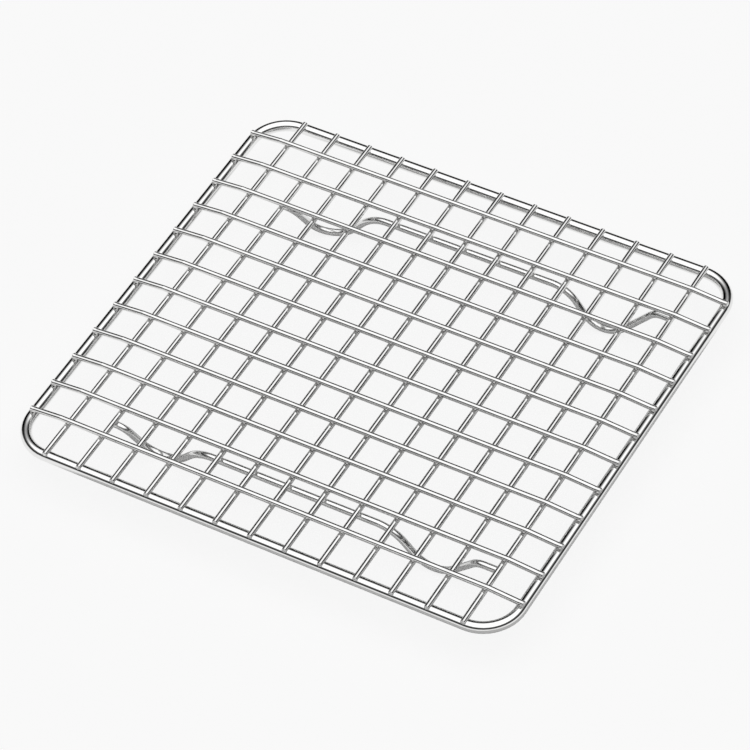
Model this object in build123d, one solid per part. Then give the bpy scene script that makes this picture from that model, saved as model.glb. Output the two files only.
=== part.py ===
from build123d import *
import math
import os

# Welded wire grill rack, in millimetres: a thick rim, two crossed layers of thin wires and two bent wire legs.
# X runs left to right, Y front to back, and Z = 0 is the surface that the four feet stand on.

# Wire diameters
rim_wire = 4.0
grid_wire = 2.0
leg_wire = 2.5

# Grid of lower wires (front to back) and upper wires (left to right)
lower_count = 13
upper_count = 12
pitch = 13.0

# Rim, measured from the outermost grid wires to the rim's centre line, and the wires' ends, measured past that line
left_gap = 14.0
right_gap = 13.0
front_gap = 13.4
back_gap = 12.1
rim_corner_radius = 13.0
front_overhang = 1.0
back_overhang = 0.5
left_end_overhang = 0.1
right_end_overhang = 1.0

# Weld set-down of the lower wires in the rim, as a share of the grid wire's diameter
rim_set = 0.50

# Gentle drop that takes the end of an upper wire down to the rim, up to where it lies flat on it
drop_run = 10.5
drop_seat = 1.0

# Legs: each runs under the lower wires, leaving some out at its ends, and dips to the floor near both ends
left_skip_count = 1
right_skip_count = 0
front_leg_inset = 10.5
back_leg_inset = 14.6
left_overhang = 1.2
right_overhang = 0.4
left_straight = 0.9
front_right_straight = 6.6
back_right_straight = 5.2

# Feet: V-shaped dips with rounded bends, whose slopes are in degrees
foot_depth = 11.5
foot_slope = 49.0
left_end_slope = 58.0
right_end_slope = 43.0
foot_radius = 10.0
inner_bend_radius = 13.0
outer_bend_radius = 6.0

# Set of the hand-bent feet: lean is how far a foot's bottom stands forward of its own shoulders,
# toe is how far its outer end stands forward of the leg's straight run
front_left_lean = -2.7
front_left_toe = 1.8
back_left_lean = -2.0
back_left_toe = 8.7
back_right_lean = 2.9
back_right_toe = -3.0

# Radii and heights of the centre lines, from the floor up
rim_r = rim_wire / 2
grid_r = grid_wire / 2
leg_r = leg_wire / 2
leg_z = leg_r + foot_depth
lower_z = leg_z + leg_r + grid_r
rim_z = lower_z - grid_r - rim_r + rim_set * grid_wire
upper_z = lower_z + grid_wire
end_z = rim_z + rim_r + grid_r

# Centre line of the rim, and the places of the wires inside it
rim_half_x = ((lower_count - 1) * pitch + left_gap + right_gap) / 2
rim_half_y = ((upper_count - 1) * pitch + front_gap + back_gap) / 2
lower_xs = [left_gap - rim_half_x + i * pitch for i in range(lower_count)]
upper_ys = [rim_half_y - back_gap - j * pitch for j in range(upper_count)]


def wire_along(path, radius):
    """A round wire swept along a path, mitred where the path has a sharp corner."""
    section = Plane(origin=path @ 0, z_dir=path % 0) * Circle(radius)
    return sweep(section, path=path, transition=Transition.RIGHT)


def make_rim():
    path = (Pos(0, 0, rim_z) * RectangleRounded(2 * rim_half_x, 2 * rim_half_y, rim_corner_radius)).wire()
    return wire_along(path, rim_r)


def foot_points(outer_x, y, side, end_slope, toe, lean):
    """Outer shoulder, bottom and inner shoulder of a foot, where its straight stretches would meet.

    The foot lies in a plane through its two shoulders, which leans so that the bottom stands off to the front.
    Its rounded bottom just reaches the floor whatever the lean.
    """
    inner_tilt = math.radians(foot_slope)
    outer_tilt = math.radians(end_slope)
    lean_angle = math.atan2(lean, foot_depth)
    corner_rise = math.cos((inner_tilt - outer_tilt) / 2) / math.cos((inner_tilt + outer_tilt) / 2) - 1
    corner_depth = foot_depth / math.cos(lean_angle) + foot_radius * corner_rise
    inner_run = corner_depth / math.tan(inner_tilt)
    span = inner_run + corner_depth / math.tan(outer_tilt)
    outer = Vector(outer_x, y - toe, leg_z)
    inner = Vector(outer_x - side * math.sqrt(span ** 2 - toe ** 2), y, leg_z)
    along = (outer - inner).normalized()
    forward = along.cross(Vector(0, 0, side))
    down = Vector(0, 0, -math.cos(lean_angle)) + forward * math.sin(lean_angle)
    return outer, inner + along * inner_run + down * corner_depth, inner


def make_leg(y, right_straight, left_toe=0.0, left_lean=0.0, right_toe=0.0, right_lean=0.0):
    left_x = lower_xs[left_skip_count] - left_overhang
    right_x = lower_xs[-1 - right_skip_count] + right_overhang
    left_outer_x = left_x + left_straight + outer_bend_radius * math.tan(math.radians(left_end_slope) / 2)
    right_outer_x = right_x - right_straight - outer_bend_radius * math.tan(math.radians(right_end_slope) / 2)
    left = foot_points(left_outer_x, y, -1, left_end_slope, left_toe, left_lean)
    right = foot_points(right_outer_x, y, 1, right_end_slope, right_toe, right_lean)
    left_end = Vector(left_x, y - left_toe, leg_z)
    right_end = Vector(right_x, y - right_toe, leg_z)
    bends = [outer_bend_radius, foot_radius, inner_bend_radius]
    path = FilletPolyline(left_end, *left, *reversed(right), right_end, radius=bends + bends[::-1])
    return wire_along(path, leg_r)


def make_lower_wire(x, seat):
    """A straight wire, saddled where its ends are welded down into the rim."""
    front_end = (x, -rim_half_y - front_overhang, lower_z)
    back_end = (x, rim_half_y + back_overhang, lower_z)
    return wire_along(Line(front_end, back_end), grid_r) - seat


def make_upper_wire(y):
    """A wire that lies on all the lower wires, with both ends sloping down to lie on the rim."""
    seat = rim_half_x - drop_seat
    left = [(-rim_half_x - left_end_overhang, y, end_z), (-seat, y, end_z), (drop_run - seat, y, upper_z)]
    right = [(seat - drop_run, y, upper_z), (seat, y, end_z), (rim_half_x + right_end_overhang, y, end_z)]
    return wire_along(Polyline(*left, *right), grid_r)


rim = make_rim()
front_leg = make_leg(
    upper_ys[-1] + front_leg_inset,
    front_right_straight,
    left_toe=front_left_toe,
    left_lean=front_left_lean,
)
back_leg = make_leg(
    upper_ys[0] - back_leg_inset,
    back_right_straight,
    left_toe=back_left_toe,
    left_lean=back_left_lean,
    right_toe=back_right_toe,
    right_lean=back_right_lean,
)
lower_wires = [make_lower_wire(x, rim) for x in lower_xs]
upper_wires = [make_upper_wire(y) for y in upper_ys]

nodes = {"rim": rim, "front_leg": front_leg, "back_leg": back_leg}
nodes.update({f"lower_wire_{i:02d}": wire for i, wire in enumerate(lower_wires, 1)})
nodes.update({f"upper_wire_{j:02d}": wire for j, wire in enumerate(upper_wires, 1)})

os.makedirs("parts", exist_ok=True)
for name, solid in nodes.items():
    export_step(solid, f"parts/{name}.step")
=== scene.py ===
"""Polished steel grill rack on a white studio floor."""
import math

import bpy
import bmesh
from mathutils import Matrix, Vector


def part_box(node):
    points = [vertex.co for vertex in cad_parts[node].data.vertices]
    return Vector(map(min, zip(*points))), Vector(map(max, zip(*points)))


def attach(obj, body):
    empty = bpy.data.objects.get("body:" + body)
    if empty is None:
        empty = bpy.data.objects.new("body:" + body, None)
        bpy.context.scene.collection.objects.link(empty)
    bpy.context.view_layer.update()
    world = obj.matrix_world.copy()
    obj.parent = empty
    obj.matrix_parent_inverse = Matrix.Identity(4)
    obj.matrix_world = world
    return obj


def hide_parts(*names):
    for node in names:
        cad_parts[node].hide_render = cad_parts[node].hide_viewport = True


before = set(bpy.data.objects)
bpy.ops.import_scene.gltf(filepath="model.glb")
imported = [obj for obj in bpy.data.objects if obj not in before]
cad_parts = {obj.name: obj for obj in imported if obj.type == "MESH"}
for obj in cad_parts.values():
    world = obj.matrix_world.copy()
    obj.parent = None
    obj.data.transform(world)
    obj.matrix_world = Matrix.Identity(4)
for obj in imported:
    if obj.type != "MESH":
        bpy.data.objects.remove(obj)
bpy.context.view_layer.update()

# Camera, from the photograph's viewing angle
IMAGE_PIXELS = 750
FOCAL_PIXELS = 4236
SENSOR = 36.0
VIEW_AZIMUTH = math.radians(33.46)
VIEW_ELEVATION = math.radians(47.92)
VIEW_ROLL = math.radians(-5.28)
VIEW_DISTANCE = 1.4035
VIEW_TARGET = Vector((0.00047, -0.00396, 0.0111))
VIEW_FAR = 100

# Floor: its own shade and the share of white glow over it, as the camera sees it and as the polished wires
# show it, where the glow is left out in a rectangle under the rack as a painted shadow in the wires'
# reflections
FLOOR_HALF = 6.0
FLOOR_SHADE = 0.95
FLOOR_SHADE_IN_WIRES = 0.68
FLOOR_WHITENESS = 0.84
WHITENESS_IN_PAINTED_SHADOW = 0.0
WHITENESS_AROUND_RACK = 0.90
# Rectangle of painted shadow under the rack, with its soft edge, as the wires reflect the floor
PAINTED_SHADOW_LOW = Vector((-0.070, -0.140, 0.0))
PAINTED_SHADOW_HIGH = Vector((0.145, 0.063, 0.0))
PAINTED_SHADOW_EDGE = 0.012

# Studio light against the sine of its height, behind the rack and on its other sides. The one passes into
# the other between BEHIND and BESIDE, counted from -1 straight behind to 1 on the camera's side
STUDIO_STRENGTH = 1.45
BEHIND = -0.75
BESIDE = -0.35
LEVELS_BEHIND = [(0.0, 0.0), (0.54, 0.0), (0.65, 0.06), (0.75, 0.26), (0.86, 0.70), (1.0, 1.0)]
LEVELS_BESIDE = [
    (0.0, 0.68),
    (0.12, 0.60),
    (0.22, 0.14),
    (0.31, 0.02),
    (0.55, 0.02),
    (0.69, 0.24),
    (0.79, 0.95),
    (1.0, 1.0),
]

# Polished steel: usual range of the noise, its play in shade and in warmth, and the fine draw lines
NOISE_RANGE = (0.3, 0.7)
SHADE_PLAY = 0.03
WARMTH = 0.005
LINE_STRENGTH = 0.3
LINE_DEPTH = 0.000006

# Dull marks at the welds along the grid wires, which fade out between two shares of the pitch
MARK_REACH = (0.05, 0.13)
MARK_ROUGHNESS = 0.06
MARK_STRENGTH = 0.35
MARK_COLOUR = (0.62, 0.615, 0.61, 1)

# Speckled steel of the weld beads
WELD_GRAIN = (2200, 2200, 2200)
WELD_GRAIN_DETAIL = 4.0
WELD_GRAIN_RANGE = (0.35, 0.65)
WELD_DARK = (0.46, 0.455, 0.445, 1)
WELD_LIGHT = (0.68, 0.675, 0.665, 1)
WELD_ROUGHNESS = (0.18, 0.38)
WELD_BUMP_STRENGTH = 0.6
WELD_BUMP_DEPTH = 0.00005

# Weld beads: half sizes along X, Y and Z, and how far the lower wires' beads lie under the rim's crest
CROSSING_BEAD = (0.00095, 0.00095, 0.00042)
LOWER_END_BEAD = (0.00128, 0.0010, 0.00045)
UPPER_END_BEAD = (0.0008, 0.0010, 0.00035)
LEG_BEAD = (0.0009, 0.0010, 0.0004)
LOWER_END_SINK = 0.00035

# Rounded tips on the cut ends
GRID_TIP_HEIGHT = 0.00045
LEG_TIP_HEIGHT = 0.0004
EQUATOR_MARGIN = 0.1

# Grid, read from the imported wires
LOWER_WIRES = sorted(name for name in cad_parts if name.startswith("lower_wire"))
UPPER_WIRES = sorted(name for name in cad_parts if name.startswith("upper_wire"))
LEGS = ["front_leg", "back_leg"]


def middle(node):
    low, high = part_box(node)
    return (low + high) / 2


def top(node):
    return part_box(node)[1].z


LOWER_XS = [middle(name).x for name in LOWER_WIRES]
UPPER_YS = [middle(name).y for name in UPPER_WIRES]
GRID_RADIUS = (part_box(UPPER_WIRES[0])[1].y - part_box(UPPER_WIRES[0])[0].y) / 2
PITCH = LOWER_XS[1] - LOWER_XS[0]
RIM_RADIUS = (top("rim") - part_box("rim")[0].z) / 2
LOWER_Z = top(LOWER_WIRES[0]) - GRID_RADIUS
RIM_HALF_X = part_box("rim")[1].x - RIM_RADIUS
RIM_HALF_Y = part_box("rim")[1].y - RIM_RADIUS

# Legs: lines of the straight runs and of both ends, wires they are welded to, and the cut at the right end
LEG_RADIUS = 0.00125
LEG_RUN_Y = {"front_leg": -0.06035, "back_leg": 0.05755}
LEG_LEFT_Y = {"front_leg": -0.06215, "back_leg": 0.04885}
LEG_RIGHT_Y = {"front_leg": -0.06035, "back_leg": 0.06055}
LEG_RUN_XS = LOWER_XS[4:9]
LEG_LEFT_X = LOWER_XS[1]
LEG_CUT_BACK = 0.0006
LEG_RIGHT_END = LOWER_XS[-1] - LEG_CUT_BACK
MERGE_DISTANCE = 0.0000002
SHARP_ANGLE = math.radians(60)


def add_node(tree, kind, **values):
    node = tree.nodes.new(kind)
    for key, value in values.items():
        setattr(node, key, value)
    return node


def math_node(tree, operation, first, second=None):
    node = add_node(tree, "ShaderNodeMath", operation=operation)
    for socket, value in zip(node.inputs, (first, second)):
        if value is None:
            continue
        if isinstance(value, (int, float)):
            socket.default_value = value
        else:
            tree.links.new(value, socket)
    return node.outputs[0]


def spread(tree, value, low, high, to_low, to_high):
    """Turns a value between low and high into one between to_low and to_high, and holds it at the ends."""
    node = add_node(tree, "ShaderNodeMapRange")
    tree.links.new(value, node.inputs["Value"])
    for socket, number in zip(("From Min", "From Max", "To Min", "To Max"), (low, high, to_low, to_high)):
        node.inputs[socket].default_value = number
    return node.outputs[0]


def ramp(tree, factor, stops):
    node = add_node(tree, "ShaderNodeValToRGB")
    elements = node.color_ramp.elements
    while len(elements) < len(stops):
        elements.new(0.5)
    for element, (position, level) in zip(elements, stops):
        element.position = position
        element.color = (level, level, level, 1)
    tree.links.new(factor, node.inputs[0])
    return node.outputs[0]


def set_camera():
    back = Vector((
        math.sin(VIEW_AZIMUTH) * math.cos(VIEW_ELEVATION),
        -math.cos(VIEW_AZIMUTH) * math.cos(VIEW_ELEVATION),
        math.sin(VIEW_ELEVATION),
    ))
    camera = bpy.data.objects.new("camera", bpy.data.cameras.new("camera"))
    camera.data.sensor_width = SENSOR
    camera.data.lens = SENSOR * FOCAL_PIXELS / IMAGE_PIXELS
    camera.data.clip_end = VIEW_FAR
    upright = back.to_track_quat("Z", "Y").to_matrix()
    turned = upright @ Matrix.Rotation(VIEW_ROLL, 3, "Z")
    camera.matrix_world = Matrix.Translation(VIEW_TARGET + back * VIEW_DISTANCE) @ turned.to_4x4()
    bpy.context.scene.collection.objects.link(camera)
    bpy.context.scene.camera = camera


def outside_painted_shadow(tree):
    """How far a place on the floor lies outside the rectangle of painted shadow under the rack, which the
    wires reflect.
    """
    coords = add_node(tree, "ShaderNodeTexCoord")
    place = coords.outputs["Object"]
    for operation, value in (
        ("SUBTRACT", (PAINTED_SHADOW_LOW + PAINTED_SHADOW_HIGH) / 2),
        ("ABSOLUTE", None),
        ("SUBTRACT", (PAINTED_SHADOW_HIGH - PAINTED_SHADOW_LOW) / 2),
    ):
        step = add_node(tree, "ShaderNodeVectorMath", operation=operation)
        tree.links.new(place, step.inputs[0])
        if value is not None:
            step.inputs[1].default_value = value
        place = step.outputs[0]
    split = add_node(tree, "ShaderNodeSeparateXYZ")
    tree.links.new(place, split.inputs[0])
    return math_node(tree, "MAXIMUM", split.outputs["X"], split.outputs["Y"])


def floor_material():
    """White floor that shows the rack's soft shadow faintly, as under bright studio light, with a painted
    shadow under the rack where the wires reflect it.
    """
    material = bpy.data.materials.new("white_floor")
    material.use_nodes = True
    tree = material.node_tree
    tree.nodes.clear()
    output = add_node(tree, "ShaderNodeOutputMaterial")
    matt = add_node(tree, "ShaderNodeBsdfDiffuse")
    glow = add_node(tree, "ShaderNodeEmission")
    path = add_node(tree, "ShaderNodeLightPath")
    shade = spread(tree, path.outputs["Is Camera Ray"], 0.0, 1.0, FLOOR_SHADE_IN_WIRES, FLOOR_SHADE)
    tree.links.new(shade, matt.inputs["Color"])
    reflected = math_node(tree, "MAXIMUM", path.outputs["Is Glossy Ray"], path.outputs["Is Transmission Ray"])
    # Painted shadow: the white glow that the wires reflect is left out in the rectangle under the rack
    around = spread(tree, outside_painted_shadow(tree), 0.0, PAINTED_SHADOW_EDGE, WHITENESS_IN_PAINTED_SHADOW, WHITENESS_AROUND_RACK)
    in_wires = math_node(tree, "MULTIPLY", reflected, around)
    in_view = math_node(tree, "MULTIPLY", path.outputs["Is Camera Ray"], FLOOR_WHITENESS)
    mix = add_node(tree, "ShaderNodeMixShader")
    tree.links.new(math_node(tree, "MAXIMUM", in_wires, in_view), mix.inputs[0])
    tree.links.new(matt.outputs[0], mix.inputs[1])
    tree.links.new(glow.outputs[0], mix.inputs[2])
    tree.links.new(mix.outputs[0], output.inputs[0])
    return material


def make_floor():
    mesh = bpy.data.meshes.new("floor")
    bm = bmesh.new()
    bmesh.ops.create_grid(bm, x_segments=1, y_segments=1, size=FLOOR_HALF)
    bm.to_mesh(mesh)
    bm.free()
    floor = bpy.data.objects.new("floor", mesh)
    floor.data.materials.append(floor_material())
    bpy.context.scene.collection.objects.link(floor)


def set_world():
    """Soft light from above, dark low down behind the rack and in a band on its other sides."""
    world = bpy.data.worlds.new("studio")
    bpy.context.scene.world = world
    world.use_nodes = True
    tree = world.node_tree
    tree.nodes.clear()
    output = add_node(tree, "ShaderNodeOutputWorld")
    background = add_node(tree, "ShaderNodeBackground")
    coords = add_node(tree, "ShaderNodeTexCoord")
    split = add_node(tree, "ShaderNodeSeparateXYZ")
    tree.links.new(coords.outputs["Generated"], split.inputs[0])
    towards = add_node(tree, "ShaderNodeVectorMath", operation="DOT_PRODUCT")
    tree.links.new(coords.outputs["Generated"], towards.inputs[0])
    towards.inputs[1].default_value = (math.sin(VIEW_AZIMUTH), -math.cos(VIEW_AZIMUTH), 0)
    side = add_node(tree, "ShaderNodeMapRange", interpolation_type="SMOOTHSTEP")
    tree.links.new(towards.outputs["Value"], side.inputs["Value"])
    side.inputs["From Min"].default_value = BEHIND
    side.inputs["From Max"].default_value = BESIDE
    levels = add_node(tree, "ShaderNodeMix", data_type="RGBA")
    tree.links.new(side.outputs[0], levels.inputs["Factor"])
    tree.links.new(ramp(tree, split.outputs["Z"], LEVELS_BEHIND), levels.inputs["A"])
    tree.links.new(ramp(tree, split.outputs["Z"], LEVELS_BESIDE), levels.inputs["B"])
    scaled = add_node(tree, "ShaderNodeVectorMath", operation="SCALE")
    tree.links.new(levels.outputs["Result"], scaled.inputs[0])
    scaled.inputs["Scale"].default_value = STUDIO_STRENGTH
    path = add_node(tree, "ShaderNodeLightPath")
    mix = add_node(tree, "ShaderNodeMix", data_type="RGBA")
    tree.links.new(path.outputs["Is Camera Ray"], mix.inputs["Factor"])
    tree.links.new(scaled.outputs[0], mix.inputs["A"])
    mix.inputs["B"].default_value = (1, 1, 1, 1)
    tree.links.new(mix.outputs["Result"], background.inputs["Color"])
    tree.links.new(background.outputs[0], output.inputs[0])


def noise(tree, scale, detail=2.0):
    """Noise over the piece's own place in the rack, with a scale per metre along each axis."""
    coords = add_node(tree, "ShaderNodeTexCoord")
    mapping = add_node(tree, "ShaderNodeMapping")
    tree.links.new(coords.outputs["Object"], mapping.inputs["Vector"])
    mapping.inputs["Scale"].default_value = scale
    texture = add_node(tree, "ShaderNodeTexNoise")
    tree.links.new(mapping.outputs[0], texture.inputs["Vector"])
    texture.inputs["Scale"].default_value = 1.0
    texture.inputs["Detail"].default_value = detail
    return texture.outputs[0]


def weld_marks(tree, axis, first):
    """1 at the welds along a grid wire, falling to 0 a little way off them."""
    coords = add_node(tree, "ShaderNodeTexCoord")
    split = add_node(tree, "ShaderNodeSeparateXYZ")
    tree.links.new(coords.outputs["Object"], split.inputs[0])
    steps = math_node(tree, "DIVIDE", math_node(tree, "SUBTRACT", split.outputs[axis], first), PITCH)
    offset = math_node(tree, "ABSOLUTE", math_node(tree, "SUBTRACT", steps, math_node(tree, "ROUND", steps)))
    return spread(tree, offset, *MARK_REACH, 1.0, 0.0)


def wire_steel(name, shade, roughness, streaks, waves, wave_depth, marks=None):
    """Bright polished steel wire: fine draw lines, a slightly wavy surface, a dull touch at the welds.

    The streaks and waves are noise scales per metre, and the marks name the axis and place of the first weld.
    """
    material = bpy.data.materials.new(name)
    material.use_nodes = True
    tree = material.node_tree
    shader = tree.nodes["Principled BSDF"]
    shader.inputs["Metallic"].default_value = 1.0
    lines = noise(tree, streaks)
    cloud = noise(tree, waves)
    dull = spread(tree, lines, *NOISE_RANGE, *roughness)
    tint = spread(tree, cloud, *NOISE_RANGE, 0.0, 1.0)
    dark = shade - SHADE_PLAY
    light = shade + SHADE_PLAY
    colour = add_node(tree, "ShaderNodeMix", data_type="RGBA")
    tree.links.new(tint, colour.inputs["Factor"])
    colour.inputs["A"].default_value = (dark, dark, dark - WARMTH, 1)
    colour.inputs["B"].default_value = (light, light, light - WARMTH, 1)
    finish = colour.outputs["Result"]
    if marks is not None:
        at_weld = weld_marks(tree, *marks)
        dull = math_node(tree, "ADD", dull, math_node(tree, "MULTIPLY", at_weld, MARK_ROUGHNESS))
        marked = add_node(tree, "ShaderNodeMix", data_type="RGBA")
        tree.links.new(math_node(tree, "MULTIPLY", at_weld, MARK_STRENGTH), marked.inputs["Factor"])
        tree.links.new(finish, marked.inputs["A"])
        marked.inputs["B"].default_value = MARK_COLOUR
        finish = marked.outputs["Result"]
    tree.links.new(finish, shader.inputs["Base Color"])
    tree.links.new(dull, shader.inputs["Roughness"])
    fine = add_node(tree, "ShaderNodeBump")
    fine.inputs["Strength"].default_value = LINE_STRENGTH
    fine.inputs["Distance"].default_value = LINE_DEPTH
    tree.links.new(lines, fine.inputs["Height"])
    wavy = add_node(tree, "ShaderNodeBump")
    wavy.inputs["Strength"].default_value = 1.0
    wavy.inputs["Distance"].default_value = wave_depth
    tree.links.new(cloud, wavy.inputs["Height"])
    tree.links.new(fine.outputs[0], wavy.inputs["Normal"])
    tree.links.new(wavy.outputs[0], shader.inputs["Normal"])
    return material


def weld_steel():
    """Duller, speckled steel of the melted welds, a little straw-coloured by the heat."""
    material = bpy.data.materials.new("weld_steel")
    material.use_nodes = True
    tree = material.node_tree
    shader = tree.nodes["Principled BSDF"]
    shader.inputs["Metallic"].default_value = 1.0
    grain = noise(tree, WELD_GRAIN, WELD_GRAIN_DETAIL)
    colour = add_node(tree, "ShaderNodeMix", data_type="RGBA")
    tree.links.new(spread(tree, grain, *WELD_GRAIN_RANGE, 0.0, 1.0), colour.inputs["Factor"])
    colour.inputs["A"].default_value = WELD_DARK
    colour.inputs["B"].default_value = WELD_LIGHT
    tree.links.new(colour.outputs["Result"], shader.inputs["Base Color"])
    tree.links.new(spread(tree, grain, *NOISE_RANGE, *WELD_ROUGHNESS), shader.inputs["Roughness"])
    bump = add_node(tree, "ShaderNodeBump")
    bump.inputs["Strength"].default_value = WELD_BUMP_STRENGTH
    bump.inputs["Distance"].default_value = WELD_BUMP_DEPTH
    tree.links.new(grain, bump.inputs["Height"])
    tree.links.new(bump.outputs[0], shader.inputs["Normal"])
    return material


def finish_piece(bm, name, material):
    for face in bm.faces:
        face.smooth = True
    bmesh.ops.recalc_face_normals(bm, faces=bm.faces[:])
    mesh = bpy.data.meshes.new(name)
    bm.to_mesh(mesh)
    bm.free()
    mesh.materials.append(material)
    piece = bpy.data.objects.new(name, mesh)
    bpy.context.scene.collection.objects.link(piece)
    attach(piece, "root")
    return piece


def add_nugget(bm, place, size):
    """One weld: a flattened bead squeezed out between two wires."""
    shape = Matrix.Translation(place) @ Matrix.Diagonal((*size, 1.0))
    bmesh.ops.create_uvsphere(bm, u_segments=10, v_segments=5, radius=1.0, matrix=shape)


def half_dome():
    """A dome of radius 1 that points along Z, closed underneath, to be set on the wires' cut ends."""
    bm = bmesh.new()
    bmesh.ops.create_uvsphere(bm, u_segments=16, v_segments=6, radius=1.0)
    lower_half = [vert for vert in bm.verts if vert.co.z < -EQUATOR_MARGIN]
    bmesh.ops.delete(bm, geom=lower_half, context="VERTS")
    bmesh.ops.edgeloop_fill(bm, edges=[edge for edge in bm.edges if edge.is_boundary])
    mesh = bpy.data.meshes.new("half_dome")
    bm.to_mesh(mesh)
    bm.free()
    return mesh


def add_dome(bm, dome, place, direction, radius, height):
    """One rounded tip on the cut end of a wire."""
    count = len(bm.verts)
    bm.from_mesh(dome)
    bm.verts.ensure_lookup_table()
    turn = Vector(direction).to_track_quat("Z", "Y").to_matrix().to_4x4()
    shape = Matrix.Translation(place) @ turn @ Matrix.Diagonal((radius, radius, height, 1.0))
    bmesh.ops.transform(bm, matrix=shape, verts=bm.verts[count:])


def make_crossing_welds(material):
    bm = bmesh.new()
    for x in LOWER_XS:
        for y in UPPER_YS:
            add_nugget(bm, (x, y, LOWER_Z + GRID_RADIUS), CROSSING_BEAD)
    finish_piece(bm, "crossing_welds", material)


def make_rim_welds(material):
    """Beads where the grid wires' ends are welded to the rim."""
    bm = bmesh.new()
    rim_top = top("rim")
    for x in LOWER_XS:
        for y in (-RIM_HALF_Y, RIM_HALF_Y):
            add_nugget(bm, (x, y, rim_top - LOWER_END_SINK), LOWER_END_BEAD)
    for y in UPPER_YS:
        for x in (-RIM_HALF_X, RIM_HALF_X):
            add_nugget(bm, (x, y, rim_top), UPPER_END_BEAD)
    finish_piece(bm, "rim_welds", material)


def make_trimmed_leg(leg, material):
    """The leg as packed, with its right end cut back to stay under the last lower wire."""
    bm = bmesh.new()
    bm.from_mesh(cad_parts[leg].data)
    bmesh.ops.remove_doubles(bm, verts=bm.verts[:], dist=MERGE_DISTANCE)
    cut = bmesh.ops.bisect_plane(
        bm,
        geom=bm.verts[:] + bm.edges[:] + bm.faces[:],
        dist=MERGE_DISTANCE,
        plane_co=(LEG_RIGHT_END, 0, 0),
        plane_no=(1, 0, 0),
        clear_outer=True,
    )
    cut_edges = [part for part in cut["geom_cut"] if isinstance(part, bmesh.types.BMEdge)]
    bmesh.ops.edgeloop_fill(bm, edges=cut_edges)
    for edge in bm.edges:
        edge.smooth = edge.calc_face_angle(0.0) < SHARP_ANGLE
    piece = finish_piece(bm, leg + "_wire", material)
    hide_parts(leg)


def make_leg_welds(material):
    """Beads where the legs' straight runs and ends are welded under the lower wires."""
    bm = bmesh.new()
    for leg in LEGS:
        on_run = [(x, LEG_RUN_Y[leg]) for x in LEG_RUN_XS]
        at_ends = [(LEG_LEFT_X, LEG_LEFT_Y[leg]), (LEG_RIGHT_END, LEG_RIGHT_Y[leg])]
        for x, y in on_run + at_ends:
            add_nugget(bm, (x, y, top(leg)), LEG_BEAD)
    finish_piece(bm, "leg_welds", material)


def make_wire_tips(material):
    """Rounded tips on both ends of the grid wires and on the left ends of the legs."""
    bm = bmesh.new()
    dome = half_dome()
    for name, x in zip(LOWER_WIRES, LOWER_XS):
        low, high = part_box(name)
        add_dome(bm, dome, (x, low.y, LOWER_Z), (0, -1, 0), GRID_RADIUS, GRID_TIP_HEIGHT)
        add_dome(bm, dome, (x, high.y, LOWER_Z), (0, 1, 0), GRID_RADIUS, GRID_TIP_HEIGHT)
    for name, y in zip(UPPER_WIRES, UPPER_YS):
        low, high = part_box(name)
        end_z = low.z + GRID_RADIUS
        add_dome(bm, dome, (low.x, y, end_z), (-1, 0, 0), GRID_RADIUS, GRID_TIP_HEIGHT)
        add_dome(bm, dome, (high.x, y, end_z), (1, 0, 0), GRID_RADIUS, GRID_TIP_HEIGHT)
    for leg in LEGS:
        low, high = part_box(leg)
        axis_z = high.z - LEG_RADIUS
        add_dome(bm, dome, (low.x, LEG_LEFT_Y[leg], axis_z), (-1, 0, 0), LEG_RADIUS, LEG_TIP_HEIGHT)
    bpy.data.meshes.remove(dome)
    finish_piece(bm, "wire_tips", material)


rim_steel = wire_steel("rim_steel", 0.84, (0.02, 0.06), (900, 900, 900), (70, 70, 70), 0.00008)
leg_steel = wire_steel("leg_steel", 0.80, (0.07, 0.13), (900, 900, 900), (80, 80, 80), 0.00003)
upper_steel = wire_steel(
    "upper_wire_steel",
    0.76,
    (0.02, 0.06),
    (90, 5000, 5000),
    (60, 500, 500),
    0.00006,
    marks=("X", LOWER_XS[0]),
)
lower_steel = wire_steel(
    "lower_wire_steel",
    0.80,
    (0.02, 0.06),
    (5000, 90, 5000),
    (500, 60, 500),
    0.00006,
    marks=("Y", UPPER_YS[0]),
)
tip_steel = wire_steel("tip_steel", 0.74, (0.08, 0.16), (1800, 1800, 1800), (300, 300, 300), 0.00003)
welds = weld_steel()

for names, steel in ((["rim"], rim_steel), (UPPER_WIRES, upper_steel), (LOWER_WIRES, lower_steel)):
    for name in names:
        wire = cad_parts[name]
        wire.data.materials.clear()
        wire.data.materials.append(steel)

for leg in LEGS:
    make_trimmed_leg(leg, leg_steel)
make_crossing_welds(welds)
make_rim_welds(welds)
make_leg_welds(welds)
make_wire_tips(tip_steel)
set_camera()
make_floor()
set_world()
bpy.context.scene.view_settings.view_transform = "Standard"
